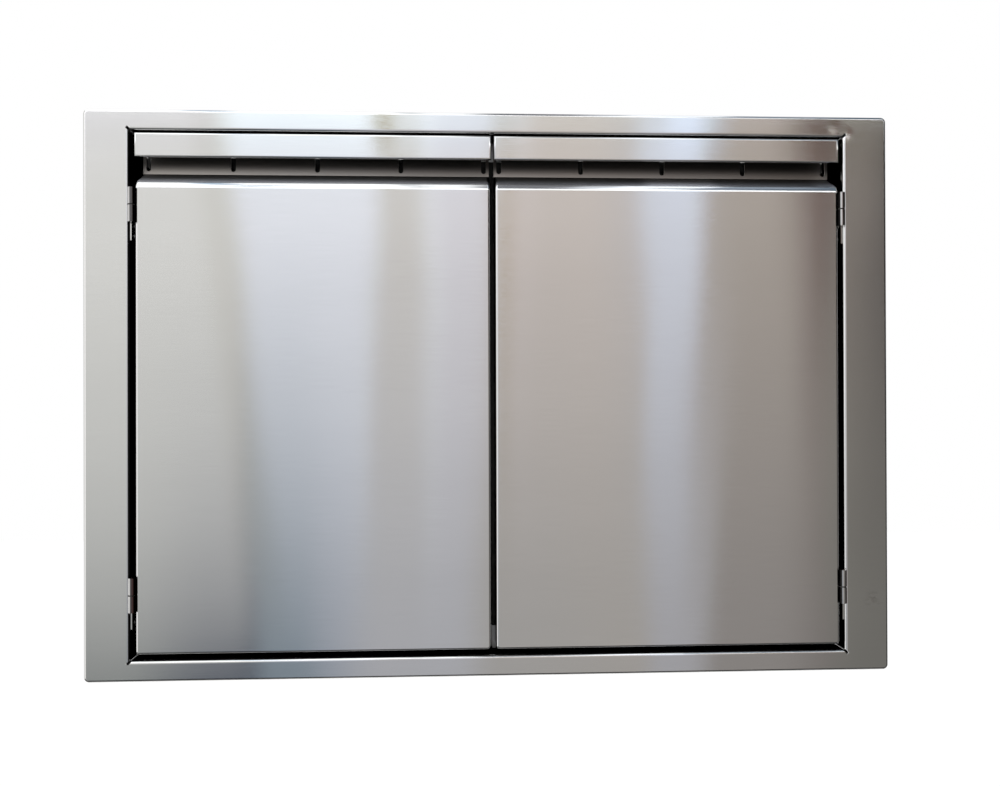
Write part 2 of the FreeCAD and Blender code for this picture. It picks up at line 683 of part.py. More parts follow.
def round_pan_rim(body, low, high):
    # folded edges round the face and up both ends of the slope
    base = body.Tip
    sides = (value(low), value(high))
    back = value(SLOPE_BACK) + NEAR
    bottom = value(DOOR_BOTTOM) + value("skin_corner") + NEAR
    rim = []
    for number, edge in enumerate(base.Shape.Edges, 1):
        ends = [end.Point for end in edge.Vertexes]
        on_side = any(all(abs(end.x - at) < NEAR for end in ends) for at in sides)
        on_front = all(abs(end.y - value(FACE)) < NEAR and end.z < bottom for end in ends)
        if all(end.y < back for end in ends) and (on_side or on_front):
            rim.append(f"Edge{number}")
    feature = body.newObject("PartDesign::Fillet", "rim_bend")
    feature.Base = (base, rim)
    feature.setExpression("Radius", bound("skin_bend"))
    doc.recompute()


def build_liner(name, side):
    body = new_body(f"door_liner_{name}")
    low, high = across(side, DOOR_NEAR, DOOR_FAR)
    left = f"({low} + skin_sheet)"
    right = f"({high} - skin_sheet)"
    bottom = f"({DOOR_BOTTOM} + skin_sheet)"
    slope_there = f"({SLOPE_FOOT} + ({DOOR_BACK} - liner_flange - {FACE}) * {SLOPE_RISE} / {SLOPE_RUN})"
    flange_top = f"({slope_there} - 2 * skin_sheet - running_gap)"
    pad(body, "back", "Y", LINER_FRONT, 1, "liner_sheet", rectangle(left, right, bottom, DOOR_TOP))
    fold = "liner_sheet"
    flanges = [(left, flange_top), (left, bottom), (right, bottom), (right, flange_top),
               (f"{right} - {fold}", flange_top), (f"{right} - {fold}", f"{bottom} + {fold}"),
               (f"{left} + {fold}", f"{bottom} + {fold}"), (f"{left} + {fold}", flange_top)]
    pad(body, "flanges", "Y", DOOR_BACK, -1, "liner_flange", path(*flanges))
    fillet(body, "back_bend", "liner_bend", {"y": DOOR_BACK, "x": left}, {"y": DOOR_BACK, "x": right},
           {"y": DOOR_BACK, "z": bottom})
    windows = [rectangle(f"{x} - slot_radius - window_margin", f"{x} + slot_radius + window_margin",
                         f"{PLATE_BOTTOM} + slot_rise - window_margin",
                         f"{PLATE_BOTTOM} + slot_rise + slot_long + window_margin") for x in slot_places(side)]
    pocket(body, "vent_windows", "Y", LINER_FRONT, 1, "liner_sheet", *windows)
    holes(body, "handle_holes", "Y", LINER_FRONT, 1, "liner_sheet", handle_rivet_spots(side))
    holes(body, "strike_holes", "Y", LINER_FRONT, 1, "liner_sheet", strike_spots(side))
    holes(body, "hinge_holes", "X", f"{side} * ({DOOR_FAR} - 2 * skin_sheet - liner_sheet)", side, "face_wide",
          [spot for height in HINGES.values() for spot in door_hinge_spots(height)])


def build_handle(name, side):
    body = new_body(f"handle_channel_{name}")
    low, high = across(side, STRIP_NEAR, STRIP_FAR)
    sheet = "skin_sheet"
    profile = [(FACE, STRIP_BOTTOM), (FACE, DOOR_TOP), (LINER_FRONT, DOOR_TOP), (LINER_FRONT, PLATE_BOTTOM),
               (PLATE_FRONT, PLATE_BOTTOM), (PLATE_FRONT, f"{DOOR_TOP} - {sheet}"),
               (f"{FACE} + {sheet}", f"{DOOR_TOP} - {sheet}"),
               (f"{FACE} + {sheet}", f"{STRIP_BOTTOM} + {sheet}"),
               (f"{FACE} + strip_lip", f"{STRIP_BOTTOM} + {sheet}"), (f"{FACE} + strip_lip", STRIP_BOTTOM)]
    pad(body, "channel", "X", low, 1, f"{high} - {low}", path(*profile))
    for end, toward in ((low, 1), (high, -1)):
        pad(body, "end_return", "X", end, toward, sheet,
            rectangle(FACE, f"{FACE} + strip_lip", STRIP_BOTTOM, DOOR_TOP))
    for end, toward in ((low, -1), (high, 1)):
        inset = f"{end} - {toward} * plate_inset"
        pocket(body, "end_trim", "X", inset, toward, "plate_inset",
               rectangle(f"{FACE} + strip_lip", LINER_FRONT, PLATE_BOTTOM, DOOR_TOP))
    fillet(body, "back_bend", "strip_bend", {"y": LINER_FRONT, "z": DOOR_TOP})
    fillet(body, "front_bends", "strip_bend", {"y": FACE})
    foot = f"({PLATE_BOTTOM} + slot_rise + slot_radius)"
    top = f"({foot} + slot_long - 2 * slot_radius)"
    slots = [slot(x, foot, top, "slot_radius") for x in slot_places(side)]
    pocket(body, "slots", "Y", PLATE_FRONT, 1, sheet, *slots)
    holes(body, "rivet_holes", "Y", PLATE_FRONT, 1, sheet, handle_rivet_spots(side))


def build_stiffener(name, side):
    body = new_body(f"door_stiffener_{name}")
    middle = f"{side} * ({DOOR_NEAR} + {DOOR_FAR}) / 2"
    half = "stiffener_wide / 2"
    front = f"{FACE} + skin_sheet"
    low = f"{DOOR_BOTTOM} + stiffener_end"
    top = f"{SLOPE_FOOT} - stiffener_end"
    sheet = "liner_sheet"
    section = [(f"-{half}", LINER_FRONT), (f"-{half}", front), (half, front), (half, LINER_FRONT),
               (f"{half} - {sheet}", LINER_FRONT), (f"{half} - {sheet}", f"{front} + {sheet}"),
               (f"{sheet} - {half}", f"{front} + {sheet}"), (f"{sheet} - {half}", LINER_FRONT)]
    pad(body, "channel", "Z", low, 1, f"{top} - ({low})", path(*[(f"{middle} + {u}", v) for u, v in section]))
    fillet(body, "bends", "liner_bend", {"x": f"{middle} - {half}", "y": front},
           {"x": f"{middle} + {half}", "y": front})


def build_strike(name, side):
    body = new_body(f"strike_plate_{name}")
    middle = f"{side} * magnet_spread / 2"
    pad(body, "plate", "Y", DOOR_BACK, 1, "strike_thick",
        rectangle(f"{middle} - strike_wide / 2", f"{middle} + strike_wide / 2",
                  f"{MAGNET_Z} - strike_tall / 2", f"{MAGNET_Z} + strike_tall / 2"))
    corners = at_corners(lambda end, up: {"x": f"{middle} + {end} * strike_wide / 2",
                                          "z": f"{MAGNET_Z} + {up} * strike_tall / 2"})
    fillet(body, "corners", "strike_corner", *corners)
    holes(body, "rivet_holes", "Y", DOOR_BACK, 1, "strike_thick", strike_spots(side))


def build_door_rivets(name, side):
    body = new_body(f"door_hinge_rivets_{name}")
    spots = [spot for height in HINGES.values() for spot in door_hinge_spots(height)]
    grip = "leaf_sheet + skin_sheet + liner_sheet"
    rivets(body, "hinge", "X", f"{side} * ({DOOR_FAR} + leaf_sheet)", -side, grip, spots)
    body = new_body(f"handle_rivets_{name}")
    rivets(body, "handle", "Y", PLATE_FRONT, 1, "skin_sheet + liner_sheet", handle_rivet_spots(side))
    body = new_body(f"strike_rivets_{name}")
    rivets(body, "strike", "Y", f"({DOOR_BACK} + strike_thick)", -1, "strike_thick + liner_sheet",
           strike_spots(side))


def build_all():
    frame = build_face_frame()
    drill_face_frame(frame)
    at_corners(build_corner_angle)
    build_corner_rivets()
    build_catch_bracket()
    build_magnets()
    build_magnet_screws()
    build_magnet_nuts()
    build_catch_rivets()
    build_stop_bracket()
    build_stop_rivets()
    build_bumpers()
    build_frame_hinge_rivets()
    for name, side in SIDES.items():
        for where, height in HINGES.items():
            build_frame_leaf(where, name, side, height)
            build_door_leaf(where, name, side, height)
            build_pin(where, name, side, height)
            build_washer(where, name, side, height)
        build_skin(name, side)
        build_liner(name, side)
        build_handle(name, side)
        build_stiffener(name, side)
        build_strike(name, side)
        build_door_rivets(name, side)


def check_all():
    for item in doc.Objects:
        if "Invalid" in item.State or "Error" in item.State:
            raise RuntimeError(f"{item.Label} did not build: {item.State}")
    for part in parts:
        shape = part.Shape
        if shape.isNull() or not shape.isValid() or not shape.Solids:
            raise RuntimeError(f"{part.Label} has no valid solid")


def write_all():
    os.makedirs("parts", exist_ok=True)
    for part in parts:
        part.Shape.exportStep(f"parts/{part.Label}.step")
        print(f"{part.Label}: {len(part.Shape.Solids)} solid, {part.Shape.Volume / 1000:.2f} cm3")


build_all()
doc.recompute()
check_all()
write_all()
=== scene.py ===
import json
import math

import bmesh
import bpy
from mathutils import Matrix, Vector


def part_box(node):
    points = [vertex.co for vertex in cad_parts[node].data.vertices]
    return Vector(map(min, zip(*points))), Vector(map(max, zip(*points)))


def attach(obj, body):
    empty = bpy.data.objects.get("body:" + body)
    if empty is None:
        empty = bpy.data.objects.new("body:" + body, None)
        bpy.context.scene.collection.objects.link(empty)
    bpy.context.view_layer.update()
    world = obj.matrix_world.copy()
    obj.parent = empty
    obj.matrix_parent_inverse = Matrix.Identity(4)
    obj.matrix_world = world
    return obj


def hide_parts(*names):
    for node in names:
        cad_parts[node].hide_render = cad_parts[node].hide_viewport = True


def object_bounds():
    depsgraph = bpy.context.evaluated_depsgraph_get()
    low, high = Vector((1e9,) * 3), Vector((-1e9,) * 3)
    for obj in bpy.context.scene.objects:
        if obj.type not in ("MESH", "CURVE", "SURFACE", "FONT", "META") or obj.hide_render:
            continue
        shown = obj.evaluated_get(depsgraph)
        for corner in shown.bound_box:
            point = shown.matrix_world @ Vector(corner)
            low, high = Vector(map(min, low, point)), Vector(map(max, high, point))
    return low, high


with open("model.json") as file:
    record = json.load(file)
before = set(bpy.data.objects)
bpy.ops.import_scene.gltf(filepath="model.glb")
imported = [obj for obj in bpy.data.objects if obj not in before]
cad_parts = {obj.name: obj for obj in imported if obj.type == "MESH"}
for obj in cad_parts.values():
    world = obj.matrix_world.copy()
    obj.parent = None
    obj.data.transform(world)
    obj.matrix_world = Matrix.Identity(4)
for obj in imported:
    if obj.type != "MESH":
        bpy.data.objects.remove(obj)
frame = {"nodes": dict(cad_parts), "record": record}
cadBox = [list(corner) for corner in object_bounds()]
nodes = frame["nodes"]
scene = bpy.context.scene


# Camera: where the photograph was taken from, a little left of the middle and turned to the right.

cameraSet = {
    "place": (-0.0486, -1.0274, -0.0037),
    "pitch": 0.273,
    "roll": -0.172,
    "yaw": -3.1,
    "focalPixels": 1077.0,
    "imageWide": 1000.0,
}


def buildCamera(setting):
    camera = bpy.data.cameras.new("camera")
    camera.sensor_fit = "HORIZONTAL"
    camera.lens = camera.sensor_width * setting["focalPixels"] / setting["imageWide"]
    camera.clip_start = 0.01
    rig = bpy.data.objects.new("camera", camera)
    turn = Matrix.Rotation(math.radians(setting["yaw"]), 4, "Z")
    turn = turn @ Matrix.Rotation(math.radians(90 + setting["pitch"]), 4, "X")
    turn = turn @ Matrix.Rotation(math.radians(setting["roll"]), 4, "Z")
    rig.matrix_world = Matrix.Translation(setting["place"]) @ turn
    scene.collection.objects.link(rig)
    scene.camera = rig


buildCamera(cameraSet)
print("camera placed")


# Node helpers for the materials.

def newMaterial(name):
    material = bpy.data.materials.new(name)
    material.use_nodes = True
    return material, material.node_tree, material.node_tree.nodes["Principled BSDF"]


def addNode(tree, kind, **values):
    node = tree.nodes.new(kind)
    for key, value in values.items():
        setattr(node, key, value)
    return node


def link(tree, source, target):
    tree.links.new(source, target)


def stretchedNoise(tree, scale, detail=2.0, rough=0.5):
    # noise on the object's own coordinates, stretched by a scale for each axis
    place = addNode(tree, "ShaderNodeTexCoord")
    mapping = addNode(tree, "ShaderNodeMapping")
    mapping.inputs["Scale"].default_value = scale
    link(tree, place.outputs["Object"], mapping.inputs["Vector"])
    noise = addNode(tree, "ShaderNodeTexNoise")
    noise.inputs["Scale"].default_value = 1.0
    noise.inputs["Detail"].default_value = detail
    noise.inputs["Roughness"].default_value = rough
    link(tree, mapping.outputs["Vector"], noise.inputs["Vector"])
    return noise.outputs["Fac"]


def spread(tree, source, fromLow, fromHigh, toLow, toHigh, smooth=False):
    node = addNode(tree, "ShaderNodeMapRange")
    node.interpolation_type = "SMOOTHSTEP" if smooth else "LINEAR"
    node.inputs["From Min"].default_value = fromLow
    node.inputs["From Max"].default_value = fromHigh
    node.inputs["To Min"].default_value = toLow
    node.inputs["To Max"].default_value = toHigh
    link(tree, source, node.inputs["Value"])
    return node.outputs["Result"]


def math2(tree, operation, first, second):
    node = addNode(tree, "ShaderNodeMath", operation=operation)
    for number, item in enumerate((first, second)):
        if isinstance(item, (int, float)):
            node.inputs[number].default_value = item
        else:
            link(tree, item, node.inputs[number])
    return node.outputs["Value"]


def blendColour(tree, factor, first, second):
    node = addNode(tree, "ShaderNodeMix", data_type="RGBA")
    link(tree, factor, node.inputs["Factor"])
    for socket, item in ((node.inputs["A"], first), (node.inputs["B"], second)):
        if isinstance(item, tuple):
            socket.default_value = item
        else:
            link(tree, item, socket)
    return node.outputs["Result"]


def vectorMath(tree, operation, first, second):
    node = addNode(tree, "ShaderNodeVectorMath", operation=operation)
    for socket, item in ((node.inputs[0], first), (node.inputs[1], second)):
        if isinstance(item, tuple):
            socket.default_value = item
        else:
            link(tree, item, socket)
    return node.outputs["Vector"]


def scaled(tree, vector, factor):
    node = addNode(tree, "ShaderNodeVectorMath", operation="SCALE")
    if isinstance(vector, tuple):
        node.inputs[0].default_value = vector
    else:
        link(tree, vector, node.inputs[0])
    link(tree, factor, node.inputs["Scale"])
    return node.outputs["Vector"]


def stepped(tree, across, height, start, steps):
    total = start
    for place, soft, change, lean in steps:
        edge = across
        if lean:
            edge = math2(tree, "ADD", across, math2(tree, "MULTIPLY", height, lean))
        rise = spread(tree, edge, place - soft, place + soft, 0.0, 1.0, True)
        total = vectorMath(tree, "ADD", total, scaled(tree, change, rise))
    return total


def addBump(tree, shader, height, strength, distance, normal=None):
    bump = addNode(tree, "ShaderNodeBump")
    bump.inputs["Strength"].default_value = strength
    bump.inputs["Distance"].default_value = distance
    link(tree, height, bump.inputs["Height"])
    if normal:
        link(tree, normal, bump.inputs["Normal"])
    link(tree, bump.outputs["Normal"], shader.inputs["Normal"])


# Dressed pieces: a smooth-shaded copy of each sheet or turned part stands for its node.

dressSet = {
    "mergeReach": 0.000002,
    "flatWithin": 0.3,
    "sharpAbove": 44.0,
    "weight": 100,
    "weightReach": 0.01,
}

plainParts = ("rivets", "screws", "nuts", "stiffener", "liner", "strike", "angle")
dressed = {}


def dressNode(name, setting):
    source = nodes[name]
    mesh = source.data.copy()
    mesh.name = name + "_dressed"
    shell = bmesh.new()
    shell.from_mesh(mesh)
    bmesh.ops.remove_doubles(shell, verts=shell.verts[:], dist=setting["mergeReach"])
    bmesh.ops.dissolve_degenerate(shell, edges=shell.edges[:], dist=setting["mergeReach"])
    bmesh.ops.dissolve_limit(shell, angle_limit=math.radians(setting["flatWithin"]), use_dissolve_boundaries=False,
                             verts=shell.verts[:], edges=shell.edges[:])
    limit = math.radians(setting["sharpAbove"])
    for face in shell.faces:
        face.smooth = True
    for edge in shell.edges:
        edge.smooth = len(edge.link_faces) == 2 and edge.calc_face_angle(0) < limit
    shell.to_mesh(mesh)
    shell.free()
    piece = bpy.data.objects.new(name + "_dressed", mesh)
    scene.collection.objects.link(piece)
    weights = piece.modifiers.new("evenNormals", "WEIGHTED_NORMAL")
    weights.mode = "FACE_AREA_WITH_ANGLE"
    weights.weight = setting["weight"]
    weights.thresh = setting["weightReach"]
    weights.keep_sharp = True
    return piece


bodyOf = {name: body for body, names in frame["record"]["behaviour"]["bodies"].items() for name in names}
for entry in frame["record"]["subparts"]:
    name = entry["node"]
    if any(word in name for word in plainParts):
        continue
    piece = dressNode(name, dressSet)
    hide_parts(name)
    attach(piece, bodyOf[name])
    dressed[name] = piece
print(f"{len(dressed)} pieces dressed")


# Finishes.

brushedSet = {
    "light": (0.675, 0.67, 0.66, 1),
    "dark": (0.64, 0.635, 0.625, 1),
    "roughLow": 0.09,
    "roughHigh": 0.106,
    "anisotropy": 1.0,
    "grain": (28.0, 2400.0, 2400.0),
    "grainShare": 0.6,
    "acrossGrain": (0.3, 1.0),
    "cloud": (2.0, 14.0, 14.0),
    "cloudShare": 0.4,
    "bumpStrength": 0.06,
    "bumpDistance": 0.0002,
    "hairline": (9.0, 1100.0, 1100.0),
    "hairlineAt": (0.66, 0.78),
    "hairlineRough": 0.04,
    "waveScale": (5.0, 5.0, 3.0),
    "waveDeep": 0.0016,
}

# The octaves and the roughness of the fine noises.
fineDetail = (3.0, 0.6)

# A noise's own range between dark and light, and between smooth and rough.
toneAt = (0.35, 0.65)
roughAt = (0.3, 0.7)

# The walls that face the gaps get painted shade, a black colour and a black glancing reflection: where they start and
# end, and how far out they lie. The sheet's ends in the corner notches lie further out. The bend values are for the
# painted shade on the frame's bend at the left of the opening.
gapSet = {
    "from": -0.0048,
    "to": -0.0042,
    "deepFrom": 0.042,
    "deepTo": 0.050,
    "wallBelow": 0.30,
    "frontAbove": 0.38,
    "reachX": 0.3392,
    "reachZ": 0.2482,
    "notchX": 0.3397,
    "notchZ": 0.2487,
    "colour": (0.012, 0.012, 0.012, 1),
    "rough": 0.12,
    "bendFrom": 0.10,
    "bendTo": 0.45,
    "bendPast": 0.330,
}

# The slope over each door gets painted shade, darkest at its back and towards the right, and painted highlights: from
# where on it is painted, and its colours at its front and back.
slopeSet = {
    "from": -0.0084,
    "to": -0.0066,
    "above": 0.19,
    "near": (0.36, 0.36, 0.38, 1),
    "far": (0.10, 0.095, 0.092, 1),
    "farAt": 0.006,
    "shadeEnds": (-0.33, 0.33),
    "rightShade": 0.6,
    "rough": 0.24,
    # painted highlights along it, as steps on x
    "glowStart": (1.0, 1.0, 1.0),
    "glowSteps": [
        (0.148, 0.008, (1.35, 1.35, 1.35), 0),
        (0.215, 0.008, (-1.15, -1.15, -1.15), 0),
        (0.313, 0.006, (0.75, 0.8, 0.85), 0),
    ],
}

# The returned ends of a handle strip, known by the normal's x, get painted shade in place of their highlights.
endSet = {
    "from": 0.12,
    "to": 0.40,
    "colour": (0.30, 0.30, 0.30, 1),
}

frameMarks = {
    # middle x, middle z, radius and depth of each dent, and the smudge on the right stile
    "dents": [(0.3288, 0.2570, 0.0090, 0.00006), (0.3420, 0.2510, 0.0075, 0.00012)],
    # painted highlights beside the dents: middle x, middle z, radius and how much lighter
    "glints": [(0.3288, 0.2520, 0.0085, 0.35), (0.3415, 0.2470, 0.0085, 0.40)],
    "smudge": (0.3665, -0.1985, 0.0115),
    "smudgeScale": (150.0, 150.0, 220.0),
    "smudgeAt": (0.42, 0.62),
    "smudgeColour": (0.47, 0.45, 0.44, 1),
    "smudgeRough": 0.12,
}


def grainTangent(tree, lean):
    # the reflection spreads across the grain, which runs along X: lean holds that direction's y and z
    across = addNode(tree, "ShaderNodeCombineXYZ")
    across.inputs["Y"].default_value = lean[0]
    across.inputs["Z"].default_value = lean[1]
    turned = addNode(tree, "ShaderNodeVectorTransform", vector_type="VECTOR", convert_from="OBJECT",
                     convert_to="WORLD")
    link(tree, across.outputs["Vector"], turned.inputs["Vector"])
    return turned.outputs["Vector"]


def objectPart(tree, output, axis):
    place = addNode(tree, "ShaderNodeTexCoord")
    split = addNode(tree, "ShaderNodeSeparateXYZ")
    link(tree, place.outputs[output], split.inputs["Vector"])
    return split.outputs[axis]


def absolute(tree, source):
    return math2(tree, "ABSOLUTE", source, 0.0)


def nearness(tree, x, z, radius):
    # 1 at a point of the face and 0 from the radius outwards
    away = addNode(tree, "ShaderNodeCombineXYZ")
    link(tree, math2(tree, "SUBTRACT", objectPart(tree, "Object", "X"), x), away.inputs["X"])
    link(tree, math2(tree, "SUBTRACT", objectPart(tree, "Object", "Z"), z), away.inputs["Y"])
    length = addNode(tree, "ShaderNodeVectorMath", operation="LENGTH")
    link(tree, away.outputs["Vector"], length.inputs[0])
    return spread(tree, length.outputs["Value"], 0.0, radius, 1.0, 0.0, True)


def within(tree, reachX, reachZ):
    # 1 nearer than both reaches to the middle of the part
    sides = [math2(tree, "LESS_THAN", absolute(tree, objectPart(tree, "Object", axis)), reach)
             for axis, reach in (("X", reachX), ("Z", reachZ))]
    return math2(tree, "MULTIPLY", *sides)


def gapWalls(tree, gap, cutEdges=False):
    # 1 on the walls that face a gap, which get painted shade, and with cutEdges on the sheet's ends in the corner
    # notches too
    depth = objectPart(tree, "Object", "Y")
    inside = spread(tree, depth, gap["from"], gap["to"], 0.0, 1.0, True)
    shallow = spread(tree, depth, gap["deepFrom"], gap["deepTo"], 1.0, 0.0, True)
    reached = math2(tree, "MULTIPLY", inside, shallow)
    facing = objectPart(tree, "Normal", "Y")
    wall = spread(tree, absolute(tree, facing), gap["wallBelow"], gap["frontAbove"], 1.0, 0.0)
    wall = math2(tree, "MULTIPLY", wall, within(tree, gap["reachX"], gap["reachZ"]))
    if cutEdges:
        front = math2(tree, "LESS_THAN", facing, -gap["frontAbove"])
        front = math2(tree, "MULTIPLY", front, within(tree, gap["notchX"], gap["notchZ"]))
        wall = math2(tree, "MAXIMUM", wall, front)
    return math2(tree, "MULTIPLY", reached, wall)


def leftBend(tree, gap):
    # 1 on the frame's bend at the left of the opening, which gets painted shade: it looks into the dark side of the
    # room
    turned = spread(tree, objectPart(tree, "Normal", "X"), gap["bendFrom"], gap["bendTo"], 0.0, 1.0, True)
    left = math2(tree, "LESS_THAN", objectPart(tree, "Object", "X"), -gap["bendPast"])
    tall = math2(tree, "LESS_THAN", absolute(tree, objectPart(tree, "Object", "Z")), gap["reachZ"])
    return math2(tree, "MULTIPLY", turned, math2(tree, "MULTIPLY", left, tall))


def addDents(tree, height, dents):
    for x, z, radius, depth in dents:
        dent = math2(tree, "MULTIPLY", nearness(tree, x, z, radius), depth)
        height = math2(tree, "SUBTRACT", height, dent)
    return height


def addMarks(tree, colour, rough, marks):
    # the glints are painted highlights; the smudge below is a real mark
    for x, z, radius, lift in marks["glints"]:
        shine = math2(tree, "ADD", math2(tree, "MULTIPLY", nearness(tree, x, z, radius), lift), 1.0)
        colour = scaled(tree, colour, shine)
    speck = spread(tree, stretchedNoise(tree, marks["smudgeScale"]), *marks["smudgeAt"], 0.0, 1.0)
    blot = math2(tree, "MULTIPLY", nearness(tree, *marks["smudge"]), speck)
    colour = blendColour(tree, blot, colour, marks["smudgeColour"])
    rough = math2(tree, "ADD", rough, math2(tree, "MULTIPLY", blot, marks["smudgeRough"]))
    return colour, rough


def addSlope(tree, colour, rough, slope):
    # the slope over each door is duller than the flat face and gets painted shade, darkest at its back and towards the
    # right, with painted highlights along it
    back = spread(tree, objectPart(tree, "Object", "Y"), slope["from"], slope["to"], 0.0, 1.0, True)
    high = math2(tree, "GREATER_THAN", objectPart(tree, "Object", "Z"), slope["above"])
    upper = math2(tree, "MULTIPLY", back, high)
    depth = spread(tree, objectPart(tree, "Object", "Y"), slope["to"], slope["farAt"], 0.0, 1.0)
    paint = blendColour(tree, depth, slope["near"], slope["far"])
    across = objectPart(tree, "Object", "X")
    shade = spread(tree, across, *slope["shadeEnds"], 1.0, slope["rightShade"])
    glow = stepped(tree, across, across, slope["glowStart"], slope["glowSteps"])
    paint = vectorMath(tree, "MULTIPLY", scaled(tree, paint, shade), glow)
    colour = blendColour(tree, upper, colour, paint)
    rough = math2(tree, "ADD", rough, math2(tree, "MULTIPLY", upper, slope["rough"]))
    return colour, rough


def blackOut(tree, shader, paintedShade, colour, gap):
    # painted shade: colour and glancing reflection both go black where the mask is 1
    link(tree, blendColour(tree, paintedShade, colour, gap["colour"]), shader.inputs["Base Color"])
    link(tree, blendColour(tree, paintedShade, (1, 1, 1, 1), gap["colour"]), shader.inputs["Specular Tint"])


def makeBrushed(name, setting, gap, marks=None, slope=None, ends=None):
    material, tree, shader = newMaterial(name)
    grain = stretchedNoise(tree, setting["grain"], *fineDetail)
    cloud = stretchedNoise(tree, setting["cloud"], 3.0)
    tone = math2(tree, "ADD", math2(tree, "MULTIPLY", grain, setting["grainShare"]),
                 math2(tree, "MULTIPLY", cloud, setting["cloudShare"]))
    colour = blendColour(tree, spread(tree, tone, *toneAt, 0.0, 1.0), setting["dark"], setting["light"])
    rough = spread(tree, tone, *roughAt, setting["roughLow"], setting["roughHigh"])
    hairline = spread(tree, stretchedNoise(tree, setting["hairline"], 1.0), *setting["hairlineAt"],
                      0.0, setting["hairlineRough"])
    rough = math2(tree, "ADD", rough, hairline)
    height = math2(tree, "MULTIPLY", stretchedNoise(tree, setting["waveScale"], 1.0), setting["waveDeep"])
    paintedShade = gapWalls(tree, gap, bool(marks))
    if marks:
        height = addDents(tree, height, marks["dents"])
        colour, rough = addMarks(tree, colour, rough, marks)
        paintedShade = math2(tree, "MAXIMUM", paintedShade, leftBend(tree, gap))
    if slope:
        colour, rough = addSlope(tree, colour, rough, slope)
    if ends:
        turned = spread(tree, absolute(tree, objectPart(tree, "Normal", "X")), ends["from"], ends["to"], 0.0, 1.0)
        colour = blendColour(tree, turned, colour, ends["colour"])
    blackOut(tree, shader, paintedShade, colour, gap)
    link(tree, math2(tree, "ADD", rough, math2(tree, "MULTIPLY", paintedShade, gap["rough"])), shader.inputs["Roughness"])
    shader.inputs["Metallic"].default_value = 1.0
    shader.inputs["Anisotropic"].default_value = setting["anisotropy"]
    link(tree, grainTangent(tree, setting["acrossGrain"]), shader.inputs["Tangent"])
    ripple = addNode(tree, "ShaderNodeBump")
    ripple.inputs["Distance"].default_value = 1.0
    link(tree, height, ripple.inputs["Height"])
    addBump(tree, shader, grain, setting["bumpStrength"], setting["bumpDistance"], ripple.outputs["Normal"])
    return material


recessSet = {
    "light": (0.33, 0.305, 0.28, 1),
    "dark": (0.25, 0.23, 0.21, 1),
    "rough": 0.36,
    "roughSpread": 0.04,
    "speck": (60.0, 900.0, 900.0),
    "from": 0.004,
    "to": 0.010,
    # painted shade down the vent plate, darkest at its top under the strip: the heights where it runs and the shade at
    # its bottom and top
    "plateLow": 0.2114,
    "plateHigh": 0.2235,
    "levelLow": 1.75,
    "levelHigh": 0.36,
    "levelBend": 1.4,
    # the painted shade across each door, lighter at the left: x where it starts and ends, and the shade at both
    "leftFade": (-0.335, -0.03, 0.80, 0.50),
    "rightFade": (0.0, 0.335, 0.70, 0.58),
    # the slots' side walls, known by the normal's x, get a painted highlight
    "slotFacing": 0.4,
    "slotWall": 1.6,
    "slotsWithin": 0.334,
}


def makeChannel(setting, gap, recess):
    # the handle channel is brushed in front and has its dull mill surface inside the recess, with painted shade on it
    # that is darkest under the strip, and painted highlights on the slot walls
    material = makeBrushed("channelSteel", setting, gap, ends=endSet)
    tree = material.node_tree
    front = tree.nodes["Principled BSDF"]
    inner = addNode(tree, "ShaderNodeBsdfPrincipled")
    speck = stretchedNoise(tree, recess["speck"], *fineDetail)
    height = objectPart(tree, "Object", "Z")
    lowness = spread(tree, height, recess["plateLow"], recess["plateHigh"], 1.0, 0.0, True)
    lowness = math2(tree, "POWER", lowness, recess["levelBend"])
    level = spread(tree, lowness, 0.0, 1.0, recess["levelHigh"], recess["levelLow"])
    across = objectPart(tree, "Object", "X")
    leftDoor = spread(tree, across, *recess["leftFade"])
    rightDoor = spread(tree, across, *recess["rightFade"])
    isRight = math2(tree, "GREATER_THAN", across, 0.0)
    doorShade = addNode(tree, "ShaderNodeMix", data_type="FLOAT")
    link(tree, isRight, doorShade.inputs["Factor"])
    link(tree, leftDoor, doorShade.inputs["A"])
    link(tree, rightDoor, doorShade.inputs["B"])
    shade = math2(tree, "MULTIPLY", level, doorShade.outputs["Result"])
    sideways = absolute(tree, objectPart(tree, "Normal", "X"))
    slotWall = math2(tree, "GREATER_THAN", sideways, recess["slotFacing"])
    amongSlots = math2(tree, "LESS_THAN", absolute(tree, across), recess["slotsWithin"])
    slotWall = math2(tree, "MULTIPLY", slotWall, amongSlots)
    shade = math2(tree, "ADD", shade, math2(tree, "MULTIPLY", slotWall, recess["slotWall"]))
    tone = blendColour(tree, speck, recess["dark"], recess["light"])
    link(tree, scaled(tree, tone, shade), inner.inputs["Base Color"])
    inner.inputs["Metallic"].default_value = 1.0
    rough = spread(tree, speck, *roughAt, recess["rough"] - recess["roughSpread"],
                   recess["rough"] + recess["roughSpread"])
    link(tree, rough, inner.inputs["Roughness"])
    mix = addNode(tree, "ShaderNodeMixShader")
    deep = spread(tree, objectPart(tree, "Object", "Y"), recess["from"], recess["to"], 0.0, 1.0)
    link(tree, deep, mix.inputs["Fac"])
    link(tree, front.outputs["BSDF"], mix.inputs[1])
    link(tree, inner.outputs["BSDF"], mix.inputs[2])
    link(tree, mix.outputs["Shader"], tree.nodes["Material Output"].inputs["Surface"])
    return material


